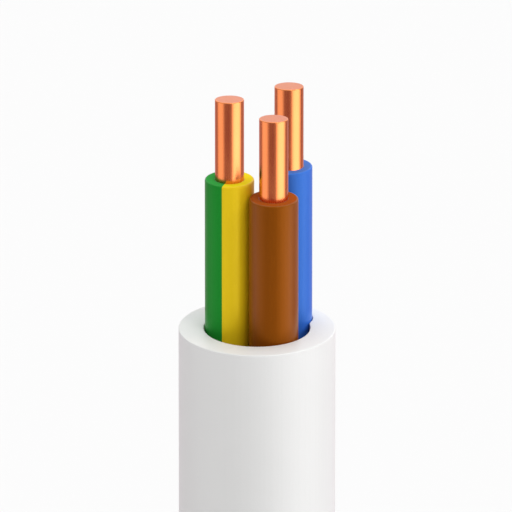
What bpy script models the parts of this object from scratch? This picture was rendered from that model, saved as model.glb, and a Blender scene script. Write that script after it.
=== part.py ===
"""Ten metre coil of three-core sheathed cable whose stripped end stands up out of the top turn."""

import bmesh
import bpy
from math import cos, pi, radians, sin
from mathutils import Matrix, Vector

MM = 0.001

# Cable section
sheath_diameter = 9.6 * MM
sheath_bore = 6.5 * MM
core_diameter = 3.02 * MM
conductor_diameter = 1.78 * MM
core_gap = 0.03 * MM
conductor_gap = 0.03 * MM
bore_wall_gap = 0.06 * MM
groove_gap = 0.07 * MM

# The cores in the bore: earth and line touch its wall, neutral lies against line in a groove of the wall
earth_angle = radians(176.2)
line_angle = radians(-52.83)
neutral_from_line_angle = radians(73.7)
neutral_conductor_shift = 0.08 * MM  # how far it lies off the middle of its insulation

# Coil: the turns lie beside and on each other, a turn pitch apart
cable_length = 10.0
turns_across = 5
layers = 4
crossing_turns = 1  # what the crossings between turns and layers take out of the section
turn_gap = 0.1 * MM

# Where the turns of a layer step over. The next layer down has its crossing two widths further round
top_crossing = radians(68)
crossing_width = radians(45)
dip_outset = 0.8 * MM
dip_overlap = radians(5)
dip_steps = 12

# Free end: it runs on round the coil from the first tie, then bends up to stand on the +Y side
exit_angle = radians(45)
stand_angle = radians(90)
bend_length = 94 * MM
upright_length = 34 * MM
blind_bore_depth = 31 * MM
seat_clearance = 0.3 * MM

# How far each core and its bare conductor stand above the rim of the sheath
earth_core_height = 9.66 * MM
line_core_height = 8.95 * MM
neutral_core_height = 9.97 * MM
bare_length = 5.17 * MM

# Ties
tie_count = 4
tie_width = 4.8 * MM
tie_thickness = 1.2 * MM
tie_clearance = 0.3 * MM
tie_head_length = 8.0 * MM
tie_head_width = 7.0 * MM
tie_head_depth = 5.0 * MM
tie_head_sink = 0.2 * MM

# How far cutters pass the faces they cut
cut_beyond = 2 * MM

# Facets
coil_steps = 40
ridge_step = radians(30)
ridge_reach = radians(60)
path_step = 4.7 * MM

# Sizes that follow from the ones above
sheath_radius = sheath_diameter / 2
turn_pitch = sheath_diameter + turn_gap
wound_turns = turns_across * layers - crossing_turns
first_layer_z = tie_thickness + tie_clearance + sheath_radius
top_layer_z = first_layer_z + (layers - 1) * turn_pitch


def bend_heading(share):
    """Angle above the horizontal at this share of the bend: it starts and ends without a kink."""
    return pi / 2 * share * share * (3 - 2 * share)


def bend_profile(count):
    """(advance along the turn, rise) at equal steps of the bend."""
    fine = 40
    step = bend_length / (count * fine)
    advance = 0.0
    rise = 0.0
    points = [(0.0, 0.0)]
    for i in range(count * fine):
        heading = bend_heading((i + 0.5) / (count * fine))
        advance += step * cos(heading)
        rise += step * sin(heading)
        if (i + 1) % fine == 0:
            points.append((advance, rise))
    return points


bend_points = bend_profile(round(bend_length / path_step))
bend_advance, bend_rise = bend_points[-1]


def lead_in_length(turn_radius):
    """Length of the free end that still lies on the coil, between the tie and the bend."""
    return (stand_angle - exit_angle) * turn_radius - bend_advance


def outer_turn_radius():
    """Radius of the outermost turn that makes coil and free end come to the cable's length."""
    half_width = (turns_across - 1) * turn_pitch / 2
    radius = cable_length / (2 * pi * wound_turns) + half_width
    for _ in range(20):
        free = lead_in_length(radius) + bend_length + upright_length
        radius = (cable_length - free) / (2 * pi * wound_turns) + half_width
    return radius


last_turn_radius = outer_turn_radius()
first_turn_radius = last_turn_radius - (turns_across - 1) * turn_pitch
bend_top_z = top_layer_z + bend_rise
rim_z = bend_top_z + upright_length
bore_floor_z = rim_z - blind_bore_depth
stand_point = Vector((last_turn_radius * cos(stand_angle), last_turn_radius * sin(stand_angle), 0))


def on_coil(angle, z):
    return Vector((last_turn_radius * cos(angle), last_turn_radius * sin(angle), z))


def free_end_path(early=0.0):
    """Points along the free end, from the tie up to the rim, or from a little before the tie."""
    lead = lead_in_length(last_turn_radius)
    steps = round(lead / path_step)
    start = exit_angle - early / last_turn_radius
    bend_start = exit_angle + lead / last_turn_radius
    points = []
    for i in range(steps):
        points.append(on_coil(start + (bend_start - start) * i / steps, top_layer_z))
    for advance, rise in bend_points:
        points.append(on_coil(bend_start + advance / last_turn_radius, top_layer_z + rise))
    points.append(stand_point + Vector((0, 0, rim_z)))
    return points


# Scene, collections and materials


def clear_scene():
    for obj in list(bpy.data.objects):
        bpy.data.objects.remove(obj, do_unlink=True)


def new_collection(name, hidden=False):
    collection = bpy.data.collections.new(name)
    bpy.context.scene.collection.children.link(collection)
    collection.hide_render = hidden
    return collection


def material(name, colour, roughness, metallic=0.0):
    made = bpy.data.materials.new(name)
    made.use_nodes = True
    shader = made.node_tree.nodes["Principled BSDF"]
    shader.inputs["Base Color"].default_value = (*colour, 1)
    shader.inputs["Roughness"].default_value = roughness
    shader.inputs["Metallic"].default_value = metallic
    made.diffuse_color = (*colour, 1)
    return made


clear_scene()
parts = new_collection("cable_coil")
cutters = new_collection("cutters", hidden=True)

white_pvc = material("white_pvc", (0.84, 0.84, 0.83), 0.42)
green_yellow_pvc = material("green_yellow_pvc", (0.66, 0.52, 0.02), 0.35)
brown_pvc = material("brown_pvc", (0.22, 0.06, 0.005), 0.35)
blue_pvc = material("blue_pvc", (0.04, 0.16, 0.62), 0.35)
copper = material("copper", (0.85, 0.38, 0.2), 0.3, 1.0)
nylon = material("nylon", (0.75, 0.75, 0.72), 0.45)


# Shapes


def smooth_round(obj):
    obj.data.shade_smooth()
    obj.data.set_sharp_from_angle(angle=radians(35))


def add_object(name, data, collection, finish=None):
    obj = bpy.data.objects.new(name, data)
    collection.objects.link(obj)
    if finish:
        data.materials.append(finish)
    return obj


def as_cutter(obj):
    obj.hide_render = True
    obj.display_type = "WIRE"
    return obj


def curve_to_mesh(obj):
    """The same object with its curve made a closed mesh, its caps welded to its sides."""
    bpy.context.view_layer.update()
    graph = bpy.context.evaluated_depsgraph_get()
    data = bpy.data.meshes.new_from_object(obj.evaluated_get(graph))
    shape = bmesh.new()
    shape.from_mesh(data)
    bmesh.ops.remove_doubles(shape, verts=shape.verts, dist=0.001 * MM)
    bmesh.ops.recalc_face_normals(shape, faces=shape.faces)
    shape.to_mesh(data)
    shape.free()
    name = obj.name
    place = obj.matrix_world.copy()
    home = obj.users_collection[0]
    bpy.data.objects.remove(obj, do_unlink=True)
    made = bpy.data.objects.new(name, data)
    made.matrix_world = place
    home.objects.link(made)
    return made


def tube(name, points, diameter, side_steps, collection, finish=None):
    """A round bar along the points, as a mesh with closed ends."""
    curve = bpy.data.curves.new(name, "CURVE")
    curve.dimensions = "3D"
    curve.bevel_depth = diameter / 2
    curve.bevel_resolution = side_steps
    curve.use_fill_caps = True
    spline = curve.splines.new("POLY")
    spline.points.add(len(points) - 1)
    for place, point in zip(spline.points, points):
        place.co = (*point, 1)
    obj = curve_to_mesh(add_object(name, curve, collection, finish))
    smooth_round(obj)
    return obj


def cut(obj, cutter):
    modifier = obj.modifiers.new("cut_" + cutter.name, "BOOLEAN")
    modifier.operation = "DIFFERENCE"
    modifier.solver = "EXACT"
    modifier.object = as_cutter(cutter)


def coil_outline():
    """Outline of the wound section at (radius, z), down its outer side first: a ridge for each turn."""
    columns = range(turns_across)
    rows = range(layers)
    outer = [(turns_across - 1, row) for row in reversed(rows)]
    bottom = [(column, 0) for column in reversed(columns)]
    inner = [(0, row) for row in rows]
    top = [(column, layers - 1) for column in columns]
    outline = []
    for side, places in enumerate((outer, bottom, inner, top)):
        facing = -side * pi / 2
        for i, (column, row) in enumerate(places[:-1]):
            start = facing + ridge_reach + (pi / 2 if i == 0 else 0)
            end = facing - ridge_reach
            count = round((start - end) / ridge_step)
            for k in range(count + 1):
                angle = start + (end - start) * k / count
                x = first_turn_radius + column * turn_pitch + sheath_radius * cos(angle)
                z = first_layer_z + row * turn_pitch + sheath_radius * sin(angle)
                outline.append((x, z))
    return outline


def make_coil():
    """The wound cable as one turned solid, with a seat where the free end leaves its top turn."""
    outline = coil_outline()
    data = bpy.data.meshes.new("sheathed_coil")
    edges = [(i, (i + 1) % len(outline)) for i in range(len(outline))]
    data.from_pydata([(x, 0, z) for x, z in outline], edges, [])
    coil = add_object("sheathed_coil", data, parts, white_pvc)
    screw = coil.modifiers.new("turn", "SCREW")
    screw.axis = "Z"
    screw.angle = 2 * pi
    screw.steps = coil_steps
    screw.render_steps = coil_steps
    screw.use_merge_vertices = True
    screw.merge_threshold = 0.001 * MM
    screw.use_smooth_shade = True
    seat = tube(
        "free_end_seat",
        free_end_path(early=seat_clearance),
        sheath_diameter + 2 * seat_clearance,
        10,
        cutters,
    )
    cut(coil, seat)
    for row in range(layers):
        cut(coil, crossing_dip(row, outer_side=True))
        cut(coil, crossing_dip(row, outer_side=False))


def dip_profile(side):
    """Section of a dip's cutter at (outwards, up): round towards the next turn, square beyond the coil."""
    radius = sheath_radius + seat_clearance
    inner = [(-radius * sin(pi * k / 6), radius * cos(pi * k / 6)) for k in range(7)]
    outline = [*inner, (turn_pitch, -radius), (turn_pitch, radius)]
    return [Vector((side * x, 0, z)) for x, z in outline]


def crossing_dip(row, outer_side):
    """Cutter for the place at a layer's inner or outer edge that its turn leaves empty near the crossing."""
    crossing = top_crossing + (layers - 1 - row) * 2 * crossing_width
    wound_outward = row % 2 == 1
    middle = crossing if outer_side == wound_outward else crossing + crossing_width
    free_end_starts = outer_side and row == layers - 1
    tail_starts = outer_side and row == 0
    start = middle - (dip_overlap if free_end_starts else crossing_width)
    end = middle if tail_starts else middle + crossing_width
    edge_radius = last_turn_radius if outer_side else first_turn_radius
    side = 1 if outer_side else -1
    height = first_layer_z + row * turn_pitch
    stations = []
    for i in range(dip_steps + 1):
        angle = start + (end - start) * i / dip_steps
        share = abs(angle - middle) / crossing_width
        out = (turn_pitch + dip_outset) * share * share * (3 - 2 * share)
        place = Matrix.Translation((edge_radius + side * out, 0, height))
        stations.append(Matrix.Rotation(angle, 4, "Z") @ place)
    name = f"{'outer' if outer_side else 'inner'}_dip_{row + 1}"
    return swept_cutter(name, dip_profile(side), stations)


def swept_cutter(name, profile, stations):
    """A closed bar with this profile, carried from one station to the next."""
    shape = bmesh.new()
    corners = [shape.verts.new(stations[0] @ point) for point in profile]
    edges = [shape.edges.new((corners[i - 1], corners[i])) for i in range(len(corners))]
    bmesh.ops.edgeloop_fill(shape, edges=edges)
    for last, station in zip(stations, stations[1:]):
        made = bmesh.ops.extrude_edge_only(shape, edges=edges)["geom"]
        corners = [item for item in made if isinstance(item, bmesh.types.BMVert)]
        edges = [item for item in made if isinstance(item, bmesh.types.BMEdge)]
        bmesh.ops.transform(shape, matrix=station @ last.inverted(), verts=corners)
    bmesh.ops.edgeloop_fill(shape, edges=edges)
    bmesh.ops.recalc_face_normals(shape, faces=shape.faces)
    data = bpy.data.meshes.new(name)
    shape.to_mesh(data)
    shape.free()
    return add_object(name, data, cutters)


def polar(radius, angle):
    return Vector((radius * cos(angle), radius * sin(angle), 0))


def core_places():
    """{core: (its centre from the bore's axis, its height above the rim)}."""
    centre_radius = (sheath_bore - core_diameter) / 2 - bore_wall_gap
    line = polar(centre_radius, line_angle)
    neutral = line + polar(core_diameter + core_gap, neutral_from_line_angle)
    return {
        "earth": (polar(centre_radius, earth_angle), earth_core_height),
        "line": (line, line_core_height),
        "neutral": (neutral, neutral_core_height),
    }


def upright(name, centre, low_z, high_z, diameter, side_steps, collection, finish=None):
    """A straight round bar that stands in the free end, its middle at this place from the bore's axis."""
    ends = [stand_point + centre + Vector((0, 0, z)) for z in (low_z, high_z)]
    return tube(name, ends, diameter, side_steps, collection, finish)


def make_free_end():
    """Sheath of the free end, bored from its rim to the top of the bend, with the neutral core's groove."""
    sheath = tube("free_end_sheath", free_end_path(), sheath_diameter, 10, parts, white_pvc)
    top_z = rim_z + cut_beyond
    middle = Vector((0, 0, 0))
    cut(sheath, upright("sheath_bore", middle, bore_floor_z, top_z, sheath_bore, 10, cutters))
    groove_diameter = core_diameter + 2 * groove_gap
    centre = core_places()["neutral"][0]
    cut(sheath, upright("neutral_groove", centre, bore_floor_z, top_z, groove_diameter, 8, cutters))


def make_core(name, centre, height, conductor_shift, finish):
    """One core: a solid conductor inside its insulation, bared at its end."""
    floor_z = bore_floor_z + seat_clearance
    top_z = rim_z + height
    insulation = upright(name + "_insulation", centre, floor_z, top_z, core_diameter, 8, parts, finish)
    conductor_centre = centre + Vector((conductor_shift, 0, 0))
    passage = upright(
        name + "_passage",
        conductor_centre,
        floor_z - cut_beyond,
        top_z + cut_beyond,
        conductor_diameter + 2 * conductor_gap,
        6,
        cutters,
    )
    cut(insulation, passage)
    tip_z = top_z + bare_length
    upright(name + "_conductor", conductor_centre, floor_z, tip_z, conductor_diameter, 6, parts, copper)


def band_outline(offset):
    """Rounded rectangle that lies this far outside the wound section, at (radius, z)."""
    radius = sheath_radius + offset
    corners = [
        (last_turn_radius, top_layer_z, 0),
        (first_turn_radius, top_layer_z, 1),
        (first_turn_radius, first_layer_z, 2),
        (last_turn_radius, first_layer_z, 3),
    ]
    steps = 5
    outline = []
    for x, z, quarter in corners:
        for k in range(steps + 1):
            angle = (quarter + k / steps) * pi / 2
            outline.append((x + radius * cos(angle), z + radius * sin(angle)))
    return outline


def make_tie(name, angle):
    """A flat band drawn round all the turns, with its head on the outer side."""
    curve = bpy.data.curves.new(name, "CURVE")
    curve.dimensions = "2D"
    curve.fill_mode = "BOTH"
    curve.extrude = tie_width / 2
    for offset in (tie_clearance + tie_thickness, tie_clearance):
        outline = band_outline(offset)
        spline = curve.splines.new("POLY")
        spline.points.add(len(outline) - 1)
        spline.use_cyclic_u = True
        for place, (x, z) in zip(spline.points, outline):
            place.co = (x, z, 0, 1)
    band = add_object(name, curve, parts, nylon)
    raised = Matrix.Rotation(angle, 4, "Z") @ Matrix.Rotation(pi / 2, 4, "X")
    band.matrix_world = raised
    band = curve_to_mesh(band)
    head_data = bpy.data.meshes.new(name + "_head")
    shape = bmesh.new()
    size = Matrix.Diagonal((tie_head_depth, tie_head_length, tie_head_width, 1))
    bmesh.ops.create_cube(shape, size=1, matrix=size)
    shape.to_mesh(head_data)
    shape.free()
    head = add_object(name + "_head", head_data, cutters)
    head_x = last_turn_radius + sheath_radius + tie_clearance + tie_head_sink + tie_head_depth / 2
    head_z = (first_layer_z + top_layer_z) / 2
    head.matrix_world = raised @ Matrix.Translation((head_x, head_z, 0))
    join = band.modifiers.new("head", "BOOLEAN")
    join.operation = "UNION"
    join.solver = "EXACT"
    join.object = as_cutter(head)


make_coil()
make_free_end()
finishes = {"earth": green_yellow_pvc, "line": brown_pvc, "neutral": blue_pvc}
for core, (centre, height) in core_places().items():
    shift = neutral_conductor_shift if core == "neutral" else 0
    make_core(core, centre, height, shift, finishes[core])
for i in range(tie_count):
    make_tie(f"tie_{i + 1}", exit_angle + i * 2 * pi / tie_count)
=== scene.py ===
"""Coil of three-core sheathed cable: the finished look of every piece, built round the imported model."""

from math import atan2, cos, hypot, pi, radians, sin, sqrt

import bmesh
import bpy
from bpy.props import FloatProperty, FloatVectorProperty, PointerProperty
from mathutils import Matrix, Vector


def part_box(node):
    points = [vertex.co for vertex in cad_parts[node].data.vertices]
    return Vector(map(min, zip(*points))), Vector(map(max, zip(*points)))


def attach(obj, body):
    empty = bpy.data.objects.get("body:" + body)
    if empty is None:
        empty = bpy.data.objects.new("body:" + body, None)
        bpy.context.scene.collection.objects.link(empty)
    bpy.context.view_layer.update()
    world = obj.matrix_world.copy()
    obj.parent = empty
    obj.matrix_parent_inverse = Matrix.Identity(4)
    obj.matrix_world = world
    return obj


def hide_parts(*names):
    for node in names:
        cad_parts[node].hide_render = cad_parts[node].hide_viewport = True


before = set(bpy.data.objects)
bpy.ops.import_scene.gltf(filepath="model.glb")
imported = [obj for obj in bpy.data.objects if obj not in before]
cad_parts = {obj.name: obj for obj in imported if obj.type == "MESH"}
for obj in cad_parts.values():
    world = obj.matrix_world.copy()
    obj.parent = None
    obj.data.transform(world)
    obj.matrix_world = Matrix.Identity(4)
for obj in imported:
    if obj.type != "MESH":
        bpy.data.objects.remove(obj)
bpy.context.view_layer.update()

bl_info = {
    "name": "Cable coil",
    "version": (1, 0, 0),
    "blender": (4, 5, 0),
    "location": "3D View > Sidebar > Cable",
    "description": "Builds a coil of three-core cable with a stripped, upright end",
    "category": "Add Mesh",
}

MM = 0.001
up = Vector((0, 0, 1))

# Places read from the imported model
coil_low, coil_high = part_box("sheathed_coil")
rim_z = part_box("free_end_sheath")[1].z

# The winding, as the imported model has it
turns_across = 5
layers = 4
exit_angle = radians(45)
stand_angle = radians(90)
bend_length = 94 * MM
blind_bore_depth = 31 * MM
tie_count = 4

# Where the top layer's turns step over. Each layer below has its crossing two widths further round
top_crossing = radians(68)
crossing_width = radians(45)

# The cores in the sheath: earth and line touch the bore's wall, neutral lies in a groove of it
core_gap = 0.03 * MM
bore_wall_gap = 0.06 * MM
groove_gap = 0.03 * MM
earth_angle = radians(176.2)
line_angle = radians(-52.83)
neutral_from_line_angle = radians(73.7)
neutral_conductor_shift = 0.08 * MM
core_floor_gap = 0.3 * MM

# The earth core is green on its left, up to this share of its radius from its middle
green_edge = -0.308

# How far the cut faces of the conductors lean back, and how far below them the upright part stays
cut_slope = radians(4.5)
upright_below_cut = 0.3 * MM

# The cut ends: how far their edges are rounded, and how deep the bores that show in them go
rim_fillet = 0.08 * MM
bore_fillet = 0.06 * MM
core_fillet = 0.1 * MM
wire_fillet = 0.05 * MM
wire_bore_gap = 0.002 * MM
wire_bore_fillet = 0.03 * MM
wire_bore_depth = 1.5 * MM
groove_softening = 0.12 * MM

# The cut tail, whose cores are short and flush with the sheath
tail_depth = 4 * MM
tail_core_gap = 0.2 * MM
tail_core_fillet = 0.06 * MM
tail_wire_fillet = 0.04 * MM
tail_wire_length = 0.9 * MM
tail_wire_bore_depth = 1 * MM

# Ties: the band has a shallow channel along its outer side, and its end lies trimmed in the head's slot
tie_clearance = 0.3 * MM
tie_corner_rounding = 0.3 * MM
channel_spread = 2.1  # how many times a third of the band's width
channel_depth = 0.14 * MM
tie_head_length = 8.0 * MM
tie_head_width = 7.0 * MM
tie_head_depth = 5.0 * MM
tie_head_sink = 0.2 * MM
tie_head_rounding = 0.8 * MM
slot_rim = 0.4 * MM
slot_play_across = 0.4 * MM
slot_play_along = 0.7 * MM
slot_depth = 2.5 * MM
trimmed_end_inside = 3.4 * MM
trimmed_end_outside = 1.1 * MM
trimmed_end_play = 0.3 * MM
trimmed_end_rounding = 0.15 * MM

# How finely the shapes are made, and up to what angle between faces they are shaded smooth
points_a_turn = 120
turn_side_steps = 8
turn_sides = 4 + 2 * turn_side_steps
sheath_sides = 128
core_sides = 64
fillet_steps = 5
bore_fillet_steps = 4
smooth_up_to = radians(35)
square_from = 0.99  # cosine from which a face counts as square to a direction

# Patterns of the finishes. A scale across and along the cable is per radius and per metre, others per metre
die_line_scale = (16, 16, 9)
grain_scale = 4200
shade_drift_scale = 55
skin_depth = 0.012 * MM
drawn_line_scale = (26, 26, 60)
drawn_line_depth = 0.0004 * MM
cutter_mark_scale = (5, 60, 5)
cutter_mark_depth = 0.02 * MM
copper_drift_scale = 420

# How much each pattern adds to a finish, and the range of its values that counts
grain_in_height = 0.25
drift_in_shade = 0.8
lines_in_shade = 0.2
drift_in_dullness = 0.5
grain_in_dullness = 0.5
drift_range = (0.3, 0.7)
line_range = (0.25, 0.75)
skin_roughness_spread = (-0.04, 0.06)
copper_roughness_spread = (-0.02, 0.03)
copper_shades = (1.04, 0.9)

# Soft upright strips of light that reflections see below the horizon: (azimuth, half width, strength). An
# azimuth is 0 on the camera's side of the cable and grows to its right, so the last strip is behind it
light_strips = (
    (radians(60), radians(50), 2.5),
    (radians(-74), radians(41), 1.0),
    (radians(180), radians(80), 0.32),
)
between_strips = (0.3, 0.15, 0.22)
brighter_sky_behind = (radians(180), radians(90), 0.6)
horizon_blur = 0.03
lamp_softness = radians(28)
floor_reach = 30
floor_glow = 0.08

# The photograph's frame, 512 pixels square, and the cable's end in it
picture_pixels = 512
sheath_pixels = 157.2
sheath_middle_x = 257.0
rim_middle_y = 327.3


class CableSizes(bpy.types.PropertyGroup):
    """Sizes of the cable and its ties."""

    sheath_diameter: FloatProperty(
        name="Sheath diameter",
        description="Outer diameter of the white sheath",
        default=9.6 * MM,
        unit="LENGTH",
    )
    sheath_bore: FloatProperty(
        name="Sheath bore",
        description="Inner diameter of the sheath, which holds the three cores",
        default=6.5 * MM,
        unit="LENGTH",
    )
    core_diameter: FloatProperty(
        name="Core diameter",
        description="Outer diameter of each insulated core",
        default=3.02 * MM,
        unit="LENGTH",
    )
    conductor_diameter: FloatProperty(
        name="Conductor diameter",
        description="Diameter of the solid copper conductors",
        default=1.78 * MM,
        unit="LENGTH",
    )
    tie_width: FloatProperty(
        name="Tie width",
        description="Width of the bands round the coil",
        default=4.8 * MM,
        unit="LENGTH",
    )
    tie_thickness: FloatProperty(
        name="Tie thickness",
        description="Thickness of the bands round the coil",
        default=1.2 * MM,
        unit="LENGTH",
    )


def colour_property(name, description, default):
    return FloatVectorProperty(
        name=name,
        description=description,
        default=default,
        size=3,
        min=0,
        max=1,
        subtype="COLOR",
    )


class CableColours(bpy.types.PropertyGroup):
    """Colours of the cable and its ties."""

    sheath: colour_property("Sheath", "White of the sheath", (0.79, 0.79, 0.783))
    green: colour_property("Green", "Green side of the earth core", (0.012, 0.26, 0.026))
    yellow: colour_property("Yellow", "Yellow side of the earth core", (0.89, 0.62, 0.012))
    brown: colour_property("Brown", "Insulation of the line core", (0.235, 0.06, 0.003))
    blue: colour_property("Blue", "Insulation of the neutral core", (0.035, 0.16, 0.66))
    copper: colour_property("Copper", "Bare conductors", (0.93, 0.305, 0.1))
    cut_copper: colour_property("Cut copper", "Matt faces that the cutters left", (0.78, 0.3, 0.18))
    nylon: colour_property("Nylon", "Ties", (0.74, 0.73, 0.68))


class CableStudio(bpy.types.PropertyGroup):
    """Camera, floor and light."""

    elevation: FloatProperty(
        name="Camera elevation",
        description="How far the camera looks down on the cable's end",
        default=radians(21),
        subtype="ANGLE",
    )
    lens: FloatProperty(
        name="Lens",
        description="Focal length of the camera",
        default=1000,
        subtype="DISTANCE_CAMERA",
    )
    floor: colour_property("Floor", "Colour of the floor", (0.708, 0.708, 0.708))
    sky: FloatProperty(
        name="Sky",
        description="Strength of the even light at the horizon",
        default=0.405,
    )
    zenith: FloatProperty(
        name="Zenith",
        description="Strength of the even light overhead",
        default=0.87,
    )
    key: FloatProperty(
        name="Key light",
        description="Strength of the light from the right",
        default=1.0,
    )
    fill: FloatProperty(
        name="Fill light",
        description="Strength of the light from the front right and above",
        default=0.66,
    )


# Routes of the cable, in metres


def ease(share):
    """From 0 to 1 without a kink at either end."""
    share = max(0.0, min(1.0, share))
    return share * share * (3 - 2 * share)


class Winding:
    """Radii, heights and routes that follow from the sheath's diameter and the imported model."""

    def __init__(self, sizes):
        self.radius = sizes.sheath_diameter / 2
        self.outer = coil_high.x - self.radius
        self.low_z = coil_low.z + self.radius
        self.top_z = coil_high.z - self.radius
        self.pitch = (self.top_z - self.low_z) / (layers - 1)
        self.inner = self.outer - (turns_across - 1) * self.pitch
        self.stand = Vector((self.outer * cos(stand_angle), self.outer * sin(stand_angle), 0))

    def moves(self):
        """The angles where the winding starts and ends, and where the cable steps over or up.

        Each step is (start angle, end angle, change of radius, change of height).
        """
        last = layers - 1
        moves = []
        at = top_crossing + 2 * last * crossing_width + crossing_width - 2 * pi
        start = at
        for layer in range(layers):
            inward = layer % 2 == 0
            crossing = top_crossing + (last - layer) * 2 * crossing_width
            for _ in range(turns_across - 1):
                at += (crossing - at) % (2 * pi)
                moves.append((at, at + crossing_width, -self.pitch if inward else self.pitch, 0.0))
                at += crossing_width
            if layer < last:
                at += (crossing - crossing_width - at) % (2 * pi)
                moves.append((at, at + crossing_width, 0.0, self.pitch))
                at += crossing_width
        end = at + (exit_angle - at) % (2 * pi)
        return start, end, moves

    def turns_path(self):
        """The wound length, from its cut tail to the tie where the free end leaves."""
        start, end, moves = self.moves()
        count = round((end - start) / (2 * pi) * points_a_turn)
        points = []
        for i in range(count + 1):
            angle = start + (end - start) * i / count
            radius = self.outer
            z = self.low_z
            for low, high, outward, upward in moves:
                if angle <= low:
                    break
                share = ease((angle - low) / (high - low))
                radius += outward * share
                z += upward * share
            points.append(Vector((radius * cos(angle), radius * sin(angle), z)))
        return points

    def on_coil(self, angle, z):
        return Vector((self.outer * cos(angle), self.outer * sin(angle), z))

    def free_path(self):
        """The free end, from its tie along the top turn, round the bend and up to the rim."""
        pieces = 40
        fine = 40
        step = bend_length / (pieces * fine)
        advance = 0.0
        rise = 0.0
        bend = [(0.0, 0.0)]
        for i in range(pieces * fine):
            heading = pi / 2 * ease((i + 0.5) / (pieces * fine))
            advance += step * cos(heading)
            rise += step * sin(heading)
            if (i + 1) % fine == 0:
                bend.append((advance, rise))
        bend_start = stand_angle - advance / self.outer
        lead_steps = 10
        points = []
        for i in range(lead_steps):
            angle = exit_angle + (bend_start - exit_angle) * i / lead_steps
            points.append(self.on_coil(angle, self.top_z))
        for along, height in bend:
            points.append(self.on_coil(bend_start + along / self.outer, self.top_z + height))
        upright_steps = 10
        bend_top = self.top_z + rise
        for i in range(1, upright_steps + 1):
            z = bend_top + (rim_z - bend_top) * i / upright_steps
            points.append(self.stand + Vector((0, 0, z)))
        return points


def polar(radius, angle):
    return Vector((radius * cos(angle), radius * sin(angle), 0))


def core_places(sizes):
    """{core: its centre from the bore's axis}."""
    centre_radius = (sizes.sheath_bore - sizes.core_diameter) / 2 - bore_wall_gap
    line = polar(centre_radius, line_angle)
    return {
        "earth": polar(centre_radius, earth_angle),
        "line": line,
        "neutral": line + polar(sizes.core_diameter + core_gap, neutral_from_line_angle),
    }


def conductor_shift(core):
    """How far a conductor lies off the middle of its insulation."""
    return Vector((neutral_conductor_shift if core == "neutral" else 0, 0, 0))


def directions(points):
    """The direction of travel at each point."""
    found = []
    for i in range(len(points)):
        before = points[max(i - 1, 0)]
        after = points[min(i + 1, len(points) - 1)]
        found.append((after - before).normalized())
    return found


# Meshes


def new_piece(name, shape, materials):
    """Makes the mesh an object that rides on the model, with the given finishes as its materials."""
    data = bpy.data.meshes.new(name)
    shape.to_mesh(data)
    shape.free()
    for finish in materials:
        data.materials.append(finish)
    data.shade_smooth()
    data.set_sharp_from_angle(angle=smooth_up_to)
    piece = bpy.data.objects.new(name, data)
    bpy.context.scene.collection.objects.link(piece)
    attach(piece, "root")
    return piece


def next_ring(shape, edges):
    """Extrudes a ring of edges. Returns its new vertices and edges, which still lie on the old ones."""
    made = bmesh.ops.extrude_edge_only(shape, edges=edges)["geom"]
    verts = [item for item in made if isinstance(item, bmesh.types.BMVert)]
    edges = [item for item in made if isinstance(item, bmesh.types.BMEdge)]
    return verts, edges


def turn_ring(shape, verts, place, direction, new_place, new_direction, growth):
    """Carries a ring of vertices from one station of its route to the next."""
    swing = direction.rotation_difference(new_direction).to_matrix().to_4x4()
    move = Matrix.Translation(new_place) @ swing @ Matrix.Scale(growth, 4) @ Matrix.Translation(-place)
    bmesh.ops.transform(shape, matrix=move, verts=verts)


def swept(stations, sides, reference_radius, seam=0.0):
    """A closed round bar through stations of (place, direction, radius).

    It has an edge at the angle of its seam. Its vertices carry their place in its section, in radii, and
    how far along the bar they are, in metres.
    """
    shape = bmesh.new()
    section = shape.verts.layers.float_vector.new("section")
    place, direction, radius = stations[0]
    turned = Matrix.Rotation(seam, 4, "Z")
    ring = bmesh.ops.create_circle(shape, segments=sides, radius=radius, matrix=turned)["verts"]
    for vert in ring:
        vert[section] = (vert.co.x / reference_radius, vert.co.y / reference_radius, 0.0)
    turn_ring(shape, ring, Vector((0, 0, 0)), up, place, direction, 1.0)
    edges = list(shape.edges)
    bmesh.ops.edgeloop_fill(shape, edges=edges)
    along = 0.0
    for new_place, new_direction, new_radius in stations[1:]:
        ring, edges = next_ring(shape, edges)
        along += (new_place - place).length
        growth = new_radius / radius
        for vert in ring:
            x, y, _ = vert[section]
            vert[section] = (x * growth, y * growth, along)
        turn_ring(shape, ring, place, direction, new_place, new_direction, growth)
        place, direction, radius = new_place, new_direction, new_radius
    bmesh.ops.edgeloop_fill(shape, edges=edges)
    bmesh.ops.recalc_face_normals(shape, faces=shape.faces)
    return shape


def rounded_end(place, direction, radius, fillet):
    """Stations that round a bar's outer edge over to its end face."""
    stations = []
    for i in range(fillet_steps + 1):
        angle = pi / 2 * i / fillet_steps
        back = fillet * (1 - sin(angle))
        inset = fillet * (1 - cos(angle))
        stations.append((place - direction * back, direction, radius - inset))
    return stations


def groove_reach(sizes, angle):
    """How far the neutral core's groove reaches beyond the round bore, at this angle round its axis."""
    centre = core_places(sizes)["neutral"]
    radius = sizes.core_diameter / 2 + groove_gap
    along = centre.x * cos(angle) + centre.y * sin(angle)
    aside = centre.x * sin(angle) - centre.y * cos(angle)
    if along < 0 or abs(aside) >= radius:
        return 0.0
    reach = along + sqrt(radius * radius - aside * aside) - sizes.sheath_bore / 2
    return (reach + sqrt(reach * reach + groove_softening * groove_softening)) / 2


def press_groove(shape, axis, widest, sizes):
    """Moves the bore's wall, which is nearer to its axis than widest, out round the neutral core."""
    margin = 0.1 * MM
    for vert in shape.verts:
        out = vert.co - axis
        out.z = 0.0
        if margin < out.length < widest and vert.co.z > rim_z - blind_bore_depth - margin:
            reach = groove_reach(sizes, atan2(out.y, out.x))
            bmesh.ops.translate(shape, vec=out.normalized() * reach, verts=[vert])


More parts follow.
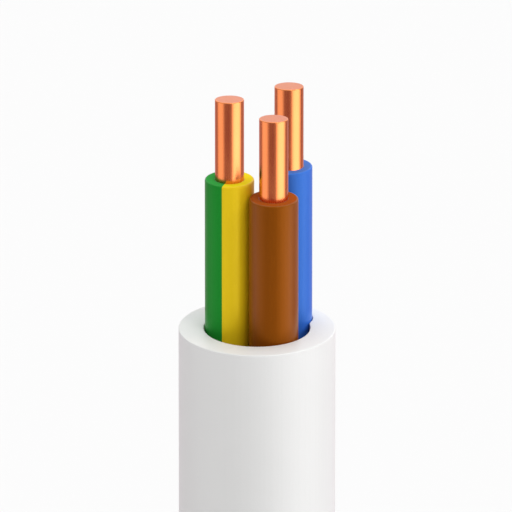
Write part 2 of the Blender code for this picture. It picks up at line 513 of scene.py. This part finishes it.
def bore_into_end(place, direction, radius, fillet, depth, steps):
    """Stations from an end's face over the rounded edge of a bore and down to its floor."""
    stations = []
    for i in range(bore_fillet_steps + 1):
        angle = pi / 2 * i / bore_fillet_steps
        back = fillet * (1 - cos(angle))
        outset = fillet * (1 - sin(angle))
        stations.append((place - direction * back, direction, radius + outset))
    for i in range(1, steps + 1):
        back = fillet + (depth - fillet) * i / steps
        stations.append((place - direction * back, direction, radius))
    return stations


# Materials


def add_node(tree, kind, **settings):
    made = tree.nodes.new(kind)
    for name, value in settings.items():
        setattr(made, name, value)
    return made


def joined(tree, source, target):
    tree.links.new(source, target)


def new_group(name, inputs, outputs):
    """A shader group with named sockets: inputs are (name, type, default), outputs (name, type)."""
    group = bpy.data.node_groups.new(name, "ShaderNodeTree")
    for socket_name, kind, default in inputs:
        made = group.interface.new_socket(socket_name, in_out="INPUT", socket_type=kind)
        if default is not None:
            made.default_value = default
    for socket_name, kind in outputs:
        group.interface.new_socket(socket_name, in_out="OUTPUT", socket_type=kind)
    way_in = group.nodes.new("NodeGroupInput")
    way_out = group.nodes.new("NodeGroupOutput")
    return group, way_in, way_out


def noise(tree, vector, scale, detail=2.0, rough=0.5):
    made = add_node(tree, "ShaderNodeTexNoise")
    made.inputs["Scale"].default_value = scale
    made.inputs["Detail"].default_value = detail
    made.inputs["Roughness"].default_value = rough
    joined(tree, vector, made.inputs["Vector"])
    return made.outputs["Fac"]


def stretched(tree, vector, scale):
    """The vector with each part scaled, which draws a pattern out along the cable."""
    made = add_node(tree, "ShaderNodeVectorMath", operation="MULTIPLY")
    made.inputs[1].default_value = scale
    joined(tree, vector, made.inputs[0])
    return made.outputs["Vector"]


def ranged(tree, value, low, high, new_low, new_high):
    """The value carried over from one range to another, and kept inside it."""
    made = add_node(tree, "ShaderNodeMapRange")
    joined(tree, value, made.inputs["Value"])
    for name, number in (("From Min", low), ("From Max", high), ("To Min", new_low), ("To Max", new_high)):
        made.inputs[name].default_value = number
    return made.outputs["Result"]


def sum_of(tree, first, second, share=1.0):
    """The first value and this share of the second."""
    made = add_node(tree, "ShaderNodeMath", operation="MULTIPLY_ADD")
    joined(tree, second, made.inputs[0])
    made.inputs[1].default_value = share
    joined(tree, first, made.inputs[2])
    return made.outputs["Value"]


def extruded_skin_group():
    """Die lines along the cable, a fine grain and a slow drift of shade, as extruded plastic has."""
    group, way_in, way_out = new_group(
        "extruded_skin",
        [
            ("Section", "NodeSocketVector", None),
            ("Place", "NodeSocketVector", None),
            ("Line Share", "NodeSocketFloat", 0.6),
        ],
        [
            ("Height", "NodeSocketFloat"),
            ("Shade", "NodeSocketFloat"),
            ("Dullness", "NodeSocketFloat"),
        ],
    )
    lines = noise(group, stretched(group, way_in.outputs["Section"], die_line_scale), 1.0, detail=3.0)
    grain = noise(group, way_in.outputs["Place"], grain_scale)
    drift = noise(group, way_in.outputs["Place"], shade_drift_scale, detail=3.0)
    weighted = add_node(group, "ShaderNodeMath", operation="MULTIPLY")
    joined(group, lines, weighted.inputs[0])
    joined(group, way_in.outputs["Line Share"], weighted.inputs[1])
    height = sum_of(group, weighted.outputs["Value"], grain, share=grain_in_height)
    joined(group, height, way_out.inputs["Height"])
    shade = ranged(group, drift, *drift_range, 0.0, drift_in_shade)
    shade = sum_of(group, shade, lines, share=lines_in_shade)
    joined(group, shade, way_out.inputs["Shade"])
    dull = ranged(group, drift, *drift_range, 0.0, drift_in_dullness)
    dull = sum_of(group, dull, grain, share=grain_in_dullness)
    joined(group, dull, way_out.inputs["Dullness"])
    return group


def shader_material(name):
    made = bpy.data.materials.new(name)
    made.use_nodes = True
    tree = made.node_tree
    shader = tree.nodes["Principled BSDF"]
    return made, tree, shader


def place_vector(tree):
    return add_node(tree, "ShaderNodeTexCoord").outputs["Object"]


def section_vector(tree):
    return add_node(tree, "ShaderNodeAttribute", attribute_name="section").outputs["Vector"]


def bumped(tree, shader, height, depth):
    bump = add_node(tree, "ShaderNodeBump")
    bump.inputs["Distance"].default_value = depth
    bump.inputs["Strength"].default_value = 1.0
    joined(tree, height, bump.inputs["Height"])
    joined(tree, bump.outputs["Normal"], shader.inputs["Normal"])


def mixed(tree, factor, first, second):
    """A colour between two, each a socket or a plain colour."""
    mix = add_node(tree, "ShaderNodeMix", data_type="RGBA")
    joined(tree, factor, mix.inputs[0])
    for socket, value in ((mix.inputs[6], first), (mix.inputs[7], second)):
        if isinstance(value, bpy.types.NodeSocket):
            joined(tree, value, socket)
        else:
            socket.default_value = (*value, 1)
    return mix.outputs[2]


def scaled(colour, share):
    return tuple(min(1.0, part * share) for part in colour)


def plastic(name, skin, light, dark, roughness, gloss, tint=(1, 1, 1), line_share=0.6):
    """Extruded plastic between two close shades."""
    made, tree, shader = shader_material(name)
    group = add_node(tree, "ShaderNodeGroup", node_tree=skin)
    group.inputs["Line Share"].default_value = line_share
    joined(tree, section_vector(tree), group.inputs["Section"])
    joined(tree, place_vector(tree), group.inputs["Place"])
    joined(tree, mixed(tree, group.outputs["Shade"], light, dark), shader.inputs["Base Color"])
    low, high = skin_roughness_spread
    rough = ranged(tree, group.outputs["Dullness"], 0.0, 1.0, roughness + low, roughness + high)
    joined(tree, rough, shader.inputs["Roughness"])
    shader.inputs["IOR"].default_value = 1.5
    shader.inputs["Specular IOR Level"].default_value = gloss
    shader.inputs["Specular Tint"].default_value = (*tint, 1)
    bumped(tree, shader, group.outputs["Height"], skin_depth)
    return made


def copper_material(name, colour, roughness, cut):
    """Bright drawn copper with lines along it, or the matt face that the cutters left."""
    made, tree, shader = shader_material(name)
    scale = cutter_mark_scale if cut else drawn_line_scale
    lines = noise(tree, stretched(tree, section_vector(tree), scale), 1.0, detail=3.0, rough=0.6)
    drift = noise(tree, place_vector(tree), copper_drift_scale)
    colours = mixed(tree, drift, *(scaled(colour, share) for share in copper_shades))
    joined(tree, colours, shader.inputs["Base Color"])
    low, high = copper_roughness_spread
    rough = ranged(tree, lines, *line_range, roughness + low, roughness + high)
    joined(tree, rough, shader.inputs["Roughness"])
    shader.inputs["Metallic"].default_value = 1.0
    bumped(tree, shader, lines, cutter_mark_depth if cut else drawn_line_depth)
    return made


finishes = {}

# How each colour of insulation shines: (gloss, tint of its shine, colour of its matt cut face). The cut
# face's colour is lighter than the insulation's, and more lemon for yellow: painted light on the cut ends
insulation_looks = {
    "yellow": (1.0, (1, 0.82, 0.08), (0.93, 0.88, 0.015)),
    "green": (0.2, (0.2, 1, 0.25), (0.035, 0.4, 0.06)),
    "brown": (0.6, (1, 0.33, 0.04), (0.37, 0.08, 0.006)),
    "blue": (0.4, (0.35, 0.7, 1), (0.07, 0.19, 0.6)),
}


def make_finishes(colours):
    """Every material, once."""
    if finishes:
        return
    skin = extruded_skin_group()
    white = tuple(colours.sheath)
    finishes["sheath"] = plastic(
        "white_sheath",
        skin,
        white,
        scaled(white, 0.955),
        roughness=0.42,
        gloss=0.5,
    )
    for name, (gloss, tint, cut) in insulation_looks.items():
        colour = tuple(getattr(colours, name))
        finishes[name] = plastic(
            f"{name}_insulation",
            skin,
            colour,
            scaled(colour, 0.85),
            roughness=0.34,
            gloss=gloss,
            tint=tint,
        )
        # The cut face: matt like real cut plastic, and painted lighter than the insulation as the light on
        # it
        finishes[f"cut_{name}"] = plastic(
            f"cut_{name}_insulation",
            skin,
            cut,
            scaled(cut, 0.85),
            roughness=0.7,
            gloss=0.05,
            tint=tint,
            line_share=0.1,
        )
    nylon = tuple(colours.nylon)
    finishes["nylon"] = plastic(
        "natural_nylon",
        skin,
        nylon,
        scaled(nylon, 0.93),
        roughness=0.4,
        gloss=0.5,
        line_share=0.2,
    )
    copper = tuple(colours.copper)
    finishes["copper"] = copper_material("drawn_copper", copper, roughness=0.26, cut=False)
    cut_copper = tuple(colours.cut_copper)
    finishes["copper_cut"] = copper_material("cut_copper", cut_copper, roughness=0.42, cut=True)


# Pieces


insulation_colours = {"earth": ("yellow", "green"), "line": ("brown",), "neutral": ("blue",)}


def is_cut(face, direction, place):
    """Whether a face lies square to this direction, at the level of this place."""
    level_within = 0.01 * MM
    level = (face.calc_center_median() - place).dot(direction)
    return abs(level) < level_within and abs(face.normal.dot(direction)) > square_from


def copper_piece(name, shape, direction, place):
    """A bare conductor, with the cutters' finish on its end face."""
    for face in shape.faces:
        face.material_index = int(is_cut(face, direction, place))
    return new_piece(name, shape, [finishes["copper"], finishes["copper_cut"]])


def insulation_piece(name, shape, core, direction, place):
    """A core's insulation, matt and with painted light on its cut face, and green on one side of the earth
    core.
    """
    section = shape.verts.layers.float_vector["section"]
    for face in shape.faces:
        x = sum(vert[section][0] for vert in face.verts)
        y = sum(vert[section][1] for vert in face.verts)
        on_green = core == "earth" and x < green_edge * hypot(x, y)
        face.material_index = 2 * int(on_green) + int(is_cut(face, direction, place))
    materials = []
    for colour in insulation_colours[core]:
        materials += [finishes[colour], finishes[f"cut_{colour}"]]
    return new_piece(name, shape, materials)


def core_shape(stations, reference_radius):
    """A core's insulation or conductor, with an edge where the earth core turns green."""
    seam = atan2(-sqrt(1 - green_edge * green_edge), green_edge)
    return swept(stations, core_sides, reference_radius, seam)


def open_tube(points, radius):
    """A round tube along the points, open at both ends, and the length of its route."""
    curve = bpy.data.curves.new("wound_route", "CURVE")
    curve.dimensions = "3D"
    curve.bevel_depth = radius
    curve.bevel_resolution = turn_side_steps
    curve.twist_mode = "Z_UP"
    spline = curve.splines.new("POLY")
    spline.points.add(len(points) - 1)
    for place, point in zip(spline.points, points):
        place.co = (*point, 1)
    route = bpy.data.objects.new("wound_route", curve)
    bpy.context.scene.collection.objects.link(route)
    bpy.context.view_layer.update()
    graph = bpy.context.evaluated_depsgraph_get()
    data = bpy.data.meshes.new_from_object(route.evaluated_get(graph))
    bpy.data.objects.remove(route)
    shape = bmesh.new()
    shape.from_mesh(data)
    bpy.data.meshes.remove(data)
    section = shape.verts.layers.float_vector.new("section")
    length = 0.0
    shape.verts.ensure_lookup_table()
    for i, point in enumerate(points):
        if i:
            length += (point - points[i - 1]).length
        for k in range(turn_sides):
            angle = 2 * pi * k / turn_sides
            shape.verts[i * turn_sides + k][section] = (cos(angle), sin(angle), length)
    return shape, length


def make_turns(sizes):
    """The wound length as one tube, its tail cut square and hollow so that the cores show in it."""
    winding = Winding(sizes)
    points = winding.turns_path()
    shape, length = open_tube(points, winding.radius)
    boundary = [edge for edge in shape.edges if edge.is_boundary]
    start_edges = [edge for edge in boundary if edge.verts[0].index < turn_sides]
    end_edges = [edge for edge in boundary if edge.verts[0].index >= turn_sides]
    bmesh.ops.edgeloop_fill(shape, edges=end_edges)
    tail, heading = points[0], directions(points)[0]
    hollow_tail(shape, start_edges, tail, heading, sizes)
    bmesh.ops.recalc_face_normals(shape, faces=shape.faces)
    piece = new_piece("wound_turns", shape, [finishes["sheath"]])
    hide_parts("sheathed_coil")
    return tail, heading, length


def hollow_tail(shape, edges, tail, heading, sizes):
    """Turns the tube's open start into a square-cut wall with a short bore."""
    ring, edges = next_ring(shape, edges)
    turn_ring(shape, ring, tail, heading, tail, heading, sizes.sheath_bore / sizes.sheath_diameter)
    ring, edges = next_ring(shape, edges)
    turn_ring(shape, ring, tail, heading, tail + heading * tail_depth, heading, 1.0)
    bmesh.ops.edgeloop_fill(shape, edges=edges)


def make_tail_cores(tail, heading, sizes):
    """The three cores that show in the cut tail, flush with the sheath."""
    outward = -heading
    swing = up.rotation_difference(outward)
    radius = sizes.core_diameter / 2
    wire_radius = sizes.conductor_diameter / 2
    for core, centre in core_places(sizes).items():
        face = tail + swing @ centre
        wire_face = face + swing @ conductor_shift(core)
        inner = face + heading * (tail_depth - tail_core_gap)
        stations = [(inner, outward, radius)]
        stations += rounded_end(face, outward, radius, tail_core_fillet)
        stations += bore_into_end(
            wire_face,
            outward,
            wire_radius + wire_bore_gap,
            wire_bore_fillet,
            tail_wire_bore_depth,
            steps=1,
        )
        insulation_piece(f"tail_{core}_insulation", core_shape(stations, radius), core, outward, face)
        stations = [(wire_face + heading * tail_wire_length, outward, wire_radius)]
        stations += rounded_end(wire_face, outward, wire_radius, tail_wire_fillet)
        copper_piece(f"tail_{core}_conductor", core_shape(stations, wire_radius), outward, wire_face)


class CABLE_OT_wind_turns(bpy.types.Operator):
    """Wind the cable into its layers, with its cut tail at the outside of the bottom layer"""

    bl_idname = "cable_coil.wind_turns"
    bl_label = "Wind the turns"

    def execute(self, context):
        make_finishes(context.scene.cable_colours)
        sizes = context.scene.cable_sizes
        tail, heading, length = make_turns(sizes)
        make_tail_cores(tail, heading, sizes)
        print(f"wound length {length:.3f} m")
        return {"FINISHED"}


class CABLE_OT_raise_free_end(bpy.types.Operator):
    """Make the sheath of the free end, which bends up from the coil and is cut square at its rim"""

    bl_idname = "cable_coil.raise_free_end"
    bl_label = "Raise the free end"

    def execute(self, context):
        make_finishes(context.scene.cable_colours)
        sizes = context.scene.cable_sizes
        path = Winding(sizes).free_path()
        rim = path[-1]
        radius = sizes.sheath_diameter / 2
        bore_radius = sizes.sheath_bore / 2
        stations = [(point, heading, radius) for point, heading in zip(path[:-1], directions(path))]
        stations += rounded_end(rim, up, radius, rim_fillet)
        stations += bore_into_end(rim, up, bore_radius, bore_fillet, blind_bore_depth, steps=8)
        shape = swept(stations, sheath_sides, radius)
        just_over = 0.01 * MM
        press_groove(shape, rim, bore_radius + bore_fillet + just_over, sizes)
        piece = new_piece("free_end", shape, [finishes["sheath"]])
        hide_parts("free_end_sheath")
        return {"FINISHED"}


def standing(centre, low_z, high_z, radius):
    """Stations of a straight bar up from the bottom of the bore, short of its end."""
    steps = 12
    heights = [low_z + (high_z - low_z) * i / steps for i in range(steps)]
    return [(centre + up * z, up, radius) for z in heights]


class CABLE_OT_insulate_cores(bpy.types.Operator):
    """Make the coloured insulation of the three cores"""

    bl_idname = "cable_coil.insulate_cores"
    bl_label = "Insulate the cores"

    def execute(self, context):
        make_finishes(context.scene.cable_colours)
        sizes = context.scene.cable_sizes
        stand = Winding(sizes).stand
        radius = sizes.core_diameter / 2
        floor_z = rim_z - blind_bore_depth + core_floor_gap
        for core, centre in core_places(sizes).items():
            node = f"{core}_insulation"
            top_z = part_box(node)[1].z
            centre = stand + centre
            face = centre + up * top_z
            stations = standing(centre, floor_z, top_z, radius)
            stations += rounded_end(face, up, radius, core_fillet)
            stations += bore_into_end(
                centre + conductor_shift(core) + up * top_z,
                up,
                sizes.conductor_diameter / 2 + wire_bore_gap,
                wire_bore_fillet,
                wire_bore_depth,
                steps=2,
            )
            piece = insulation_piece(f"{core}_core", core_shape(stations, radius), core, up, face)
            # The neutral core would show as a dark mark in the earth core's copper
            piece.visible_glossy = core != "neutral"
            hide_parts(node)
        return {"FINISHED"}


class CABLE_OT_bare_conductors(bpy.types.Operator):
    """Make the solid copper conductors with their cut ends"""

    bl_idname = "cable_coil.bare_conductors"
    bl_label = "Bare the conductors"

    def execute(self, context):
        make_finishes(context.scene.cable_colours)
        sizes = context.scene.cable_sizes
        stand = Winding(sizes).stand
        radius = sizes.conductor_diameter / 2
        leaning = Vector((0, sin(cut_slope), cos(cut_slope)))
        floor_z = rim_z - blind_bore_depth + core_floor_gap
        for core, centre in core_places(sizes).items():
            node = f"{core}_conductor"
            top_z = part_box(node)[1].z
            centre = stand + centre + conductor_shift(core)
            top = centre + up * top_z
            stations = standing(centre, floor_z, top_z - upright_below_cut, radius)
            stations += rounded_end(top, leaning, radius, wire_fillet)
            piece = copper_piece(f"{core}_wire", core_shape(stations, radius), leaning, top)
            # The wires would show as dark marks in each other's copper
            piece.visible_glossy = False
            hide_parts(node)
        return {"FINISHED"}


def band_route(sizes, offset):
    """Closed route round the wound section, this far outside it: [(place, angle that it faces)]."""
    winding = Winding(sizes)
    radius = winding.radius + offset
    corners = [
        (winding.outer, winding.top_z),
        (winding.inner, winding.top_z),
        (winding.inner, winding.low_z),
        (winding.outer, winding.low_z),
    ]
    steps = 8
    route = []
    for quarter, (x, z) in enumerate(corners):
        for k in range(steps + 1):
            angle = (quarter + k / steps) * pi / 2
            route.append((Vector((x + radius * cos(angle), 0, z + radius * sin(angle))), angle))
    return route


def add_strap(shape, sizes):
    """The band: a rounded strip with a shallow channel along its outer side, drawn round the turns."""
    bmesh.ops.create_grid(shape, x_segments=1, y_segments=3, size=0.5)
    strip = list(shape.verts)
    swing = Matrix.Rotation(-pi / 2, 4, "X")
    bmesh.ops.transform(shape, matrix=swing, verts=strip)
    bmesh.ops.scale(shape, vec=(sizes.tie_thickness, 1, sizes.tie_width), verts=strip)
    inner = [vert for vert in strip if abs(vert.co.z) < sizes.tie_width / 4]
    for vert in inner:
        vert.co.z *= channel_spread
    channel = [vert for vert in inner if vert.co.x > 0]
    bmesh.ops.translate(shape, vec=(-channel_depth, 0, 0), verts=channel)
    almost_half = 0.49
    corners = [vert for vert in strip if abs(vert.co.z) > sizes.tie_width * almost_half]
    bmesh.ops.bevel(
        shape,
        geom=corners,
        offset=tie_corner_rounding,
        segments=3,
        profile=0.5,
        affect="VERTICES",
        material=-1,
    )
    bmesh.ops.transform(shape, matrix=Matrix.Rotation(pi / 2, 4, "X"), verts=shape.verts)
    inside = [edge for edge in shape.edges if not edge.is_boundary]
    edges = [edge for edge in shape.edges if edge.is_boundary]
    bmesh.ops.delete(shape, geom=list(shape.faces), context="FACES_ONLY")
    bmesh.ops.delete(shape, geom=inside, context="EDGES")
    route = band_route(sizes, tie_clearance + sizes.tie_thickness / 2)
    route.append((route[0][0].copy(), 2 * pi))
    place, angle = route[0]
    ring = list(shape.verts)
    bmesh.ops.translate(shape, vec=place, verts=ring)
    for new_place, new_angle in route[1:]:
        ring, edges = next_ring(shape, edges)
        swing = Matrix.Rotation(angle - new_angle, 4, "Y")
        move = Matrix.Translation(new_place) @ swing @ Matrix.Translation(-place)
        bmesh.ops.transform(shape, matrix=move, verts=ring)
        place, angle = new_place, new_angle
    bmesh.ops.remove_doubles(shape, verts=shape.verts, dist=0.001 * MM)


def add_block(shape, size, middle, rounding, segments):
    """A block with rounded edges. Returns its flat outer face."""
    before = set(shape.faces)
    verts = bmesh.ops.create_cube(shape, size=1)["verts"]
    bmesh.ops.scale(shape, vec=size, verts=verts)
    bmesh.ops.translate(shape, vec=middle, verts=verts)
    edges = list(dict.fromkeys(edge for vert in verts for edge in vert.link_edges))
    bmesh.ops.bevel(
        shape,
        geom=edges,
        offset=rounding,
        segments=segments,
        profile=0.5,
        affect="EDGES",
        material=-1,
    )
    shape.normal_update()
    made = [face for face in shape.faces if face not in before]
    return max(made, key=lambda face: face.calc_area() if face.normal.x > square_from else 0)


def add_head(shape, sizes):
    """The head: a block with a slot in its outer face, and the trimmed end of the band in the slot."""
    winding = Winding(sizes)
    middle_z = (winding.low_z + winding.top_z) / 2
    inner_x = winding.outer + winding.radius + tie_clearance + tie_head_sink
    size = Vector((tie_head_depth, tie_head_width, tie_head_length))
    middle = Vector((inner_x + tie_head_depth / 2, 0, middle_z))
    outer = add_block(shape, size, middle, tie_head_rounding, segments=4)
    bmesh.ops.inset_individual(shape, faces=[outer], thickness=slot_rim, use_even_offset=True)
    slot_width = sizes.tie_width + slot_play_across
    slot_height = sizes.tie_thickness + slot_play_along
    centre = outer.calc_center_median()
    flat_width = tie_head_width - 2 * (tie_head_rounding + slot_rim)
    flat_length = tie_head_length - 2 * (tie_head_rounding + slot_rim)
    fit = (1, slot_width / flat_width, slot_height / flat_length)
    bmesh.ops.scale(shape, vec=fit, verts=list(outer.verts), space=Matrix.Translation(-centre))
    made = bmesh.ops.extrude_discrete_faces(shape, faces=[outer])["faces"]
    bmesh.ops.translate(shape, vec=(-slot_depth, 0, 0), verts=list(made[0].verts))
    length = trimmed_end_inside + trimmed_end_outside
    size = Vector((length, sizes.tie_width - trimmed_end_play, sizes.tie_thickness))
    middle = centre + Vector((trimmed_end_outside - length / 2, 0, 0))
    add_block(shape, size, middle, trimmed_end_rounding, segments=2)


def make_tie(name, angle, sizes):
    """One tie, in its own radial plane."""
    shape = bmesh.new()
    shape.verts.layers.float_vector.new("section")
    add_strap(shape, sizes)
    add_head(shape, sizes)
    bmesh.ops.recalc_face_normals(shape, faces=shape.faces)
    bmesh.ops.transform(shape, matrix=Matrix.Rotation(angle, 4, "Z"), verts=shape.verts)
    piece = new_piece(f"{name}_band", shape, [finishes["nylon"]])
    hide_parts(name)


class CABLE_OT_tie_turns(bpy.types.Operator):
    """Draw the ties round the turns"""

    bl_idname = "cable_coil.tie_turns"
    bl_label = "Tie the turns"

    def execute(self, context):
        make_finishes(context.scene.cable_colours)
        for i in range(tie_count):
            make_tie(f"tie_{i + 1}", exit_angle + i * 2 * pi / tie_count, context.scene.cable_sizes)
        return {"FINISHED"}


# Stage


def light_lobe(tree, azimuth, centre, width, strength):
    """A soft band of light round this azimuth, from the cosine of the angle to it."""
    away = add_node(tree, "ShaderNodeMath", operation="SUBTRACT")
    joined(tree, azimuth, away.inputs[0])
    away.inputs[1].default_value = centre
    turned = add_node(tree, "ShaderNodeMath", operation="COSINE")
    joined(tree, away.outputs["Value"], turned.inputs[0])
    made = add_node(tree, "ShaderNodeMapRange", interpolation_type="SMOOTHERSTEP")
    joined(tree, turned.outputs["Value"], made.inputs["Value"])
    made.inputs["From Min"].default_value = cos(width)
    made.inputs["From Max"].default_value = 1.0
    made.inputs["To Min"].default_value = 0.0
    made.inputs["To Max"].default_value = strength
    return made.outputs["Result"]


def make_world(studio):
    """Even light from above. Below the horizon, where only reflections look, soft upright strips."""
    world = bpy.data.worlds.new("studio")
    bpy.context.scene.world = world
    world.use_nodes = True
    tree = world.node_tree
    direction = add_node(tree, "ShaderNodeTexCoord").outputs["Generated"]
    parts = add_node(tree, "ShaderNodeSeparateXYZ")
    joined(tree, direction, parts.inputs["Vector"])
    turn = add_node(tree, "ShaderNodeMath", operation="ARCTAN2")
    back = add_node(tree, "ShaderNodeMath", operation="MULTIPLY")
    joined(tree, parts.outputs["Y"], back.inputs[0])
    back.inputs[1].default_value = -1.0
    joined(tree, parts.outputs["X"], turn.inputs[0])
    joined(tree, back.outputs["Value"], turn.inputs[1])
    azimuth = turn.outputs["Value"]
    strips = light_lobe(tree, azimuth, *light_strips[0])
    for strip in light_strips[1:]:
        strips = sum_of(tree, strips, light_lobe(tree, azimuth, *strip))
    lit = add_node(tree, "ShaderNodeVectorMath", operation="ADD")
    joined(tree, strips, lit.inputs[0])
    lit.inputs[1].default_value = between_strips
    overhead = ranged(tree, parts.outputs["Z"], 0.0, 1.0, studio.sky, studio.zenith)
    sky = sum_of(tree, overhead, light_lobe(tree, azimuth, *brighter_sky_behind))
    above = ranged(tree, parts.outputs["Z"], -horizon_blur, 0.0, 0.0, 1.0)
    light = mixed(tree, above, lit.outputs["Vector"], sky)
    joined(tree, light, tree.nodes["Background"].inputs["Color"])


def make_floor(studio):
    """A pale matt floor that glows a little. Reflections see the strips of light in its place."""
    shape = bmesh.new()
    bmesh.ops.create_grid(shape, x_segments=2, y_segments=2, size=floor_reach)
    data = bpy.data.meshes.new("floor")
    shape.to_mesh(data)
    shape.free()
    floor = bpy.data.objects.new("floor", data)
    bpy.context.scene.collection.objects.link(floor)
    made, tree, shader = shader_material("pale_floor")
    shader.inputs["Base Color"].default_value = (*studio.floor, 1)
    shader.inputs["Roughness"].default_value = 0.9
    shader.inputs["Specular IOR Level"].default_value = 0.0
    shader.inputs["Emission Color"].default_value = (1, 1, 1, 1)
    shader.inputs["Emission Strength"].default_value = floor_glow
    data.materials.append(made)
    floor.visible_glossy = False


def make_lamp(name, strength, side, height):
    """A soft light from this far to the right of the camera and this far up."""
    light = bpy.data.lights.new(name, "SUN")
    light.energy = strength
    light.angle = lamp_softness
    lamp = bpy.data.objects.new(name, light)
    bpy.context.scene.collection.objects.link(lamp)
    towards = Vector((sin(side) * cos(height), -cos(side) * cos(height), sin(height)))
    lamp.rotation_mode = "QUATERNION"
    lamp.rotation_quaternion = towards.to_track_quat("Z", "Y")


def make_camera(sizes, studio):
    """Looks along +Y and down on the cable's end, as close as the end fills the photograph."""
    data = bpy.data.cameras.new("camera")
    data.sensor_width = 36
    data.lens = studio.lens
    data.clip_start = 10 * MM
    data.clip_end = 100
    camera = bpy.data.objects.new("camera", data)
    bpy.context.scene.collection.objects.link(camera)
    pixel = sizes.sheath_diameter / sheath_pixels
    stand = Winding(sizes).stand
    right = (picture_pixels / 2 - sheath_middle_x) * pixel
    raised = (rim_middle_y - picture_pixels / 2) * pixel / cos(studio.elevation)
    aim = stand + Vector((right, 0, rim_z + raised))
    distance = picture_pixels * pixel / 2 / (data.sensor_width / 2 / data.lens)
    back = Vector((0, -cos(studio.elevation), sin(studio.elevation)))
    camera.location = aim + back * distance
    camera.rotation_mode = "QUATERNION"
    camera.rotation_quaternion = back.to_track_quat("Z", "Y")
    bpy.context.scene.camera = camera


class CABLE_OT_set_stage(bpy.types.Operator):
    """Lay the floor, and set the light and the camera"""

    bl_idname = "cable_coil.set_stage"
    bl_label = "Set the stage"

    def execute(self, context):
        scene = context.scene
        studio = scene.cable_studio
        make_camera(scene.cable_sizes, studio)
        make_floor(studio)
        make_world(studio)
        make_lamp("key_light", studio.key, side=radians(75), height=radians(37))
        make_lamp("fill_light", studio.fill, side=radians(38), height=radians(50))
        scene.view_settings.view_transform = "Standard"
        return {"FINISHED"}


class CABLE_OT_declare_cord(bpy.types.Operator):
    """Work out the route of the free end, which is not kept"""

    bl_idname = "cable_coil.declare_cord"
    bl_label = "Declare the free end"

    def execute(self, context):
        sizes = context.scene.cable_sizes
        path = Winding(sizes).free_path()
        return {"FINISHED"}


class CABLE_PT_coil(bpy.types.Panel):
    """Lists the pieces of the coil and their sizes"""

    bl_label = "Cable coil"
    bl_idname = "CABLE_PT_coil"
    bl_space_type = "VIEW_3D"
    bl_region_type = "UI"
    bl_category = "Cable"

    def draw(self, context):
        for group in ("cable_sizes", "cable_colours", "cable_studio"):
            settings = getattr(context.scene, group)
            box = self.layout.box()
            for name in settings.bl_rna.properties.keys():
                if name not in {"rna_type", "name"}:
                    box.prop(settings, name)
        for operator in operators:
            self.layout.operator(operator.bl_idname)


operators = (
    CABLE_OT_set_stage,
    CABLE_OT_wind_turns,
    CABLE_OT_raise_free_end,
    CABLE_OT_insulate_cores,
    CABLE_OT_bare_conductors,
    CABLE_OT_tie_turns,
    CABLE_OT_declare_cord,
)
classes = (CableSizes, CableColours, CableStudio, *operators, CABLE_PT_coil)


def register():
    for item in classes:
        bpy.utils.register_class(item)
    bpy.types.Scene.cable_sizes = PointerProperty(type=CableSizes)
    bpy.types.Scene.cable_colours = PointerProperty(type=CableColours)
    bpy.types.Scene.cable_studio = PointerProperty(type=CableStudio)


def unregister():
    del bpy.types.Scene.cable_studio
    del bpy.types.Scene.cable_colours
    del bpy.types.Scene.cable_sizes
    for item in reversed(classes):
        bpy.utils.unregister_class(item)


def main():
    register()
    bpy.ops.cable_coil.set_stage()
    bpy.ops.cable_coil.wind_turns()
    bpy.ops.cable_coil.raise_free_end()
    bpy.ops.cable_coil.insulate_cores()
    bpy.ops.cable_coil.bare_conductors()
    bpy.ops.cable_coil.tie_turns()
    bpy.ops.cable_coil.declare_cord()


if __name__ == "__main__":
    main()
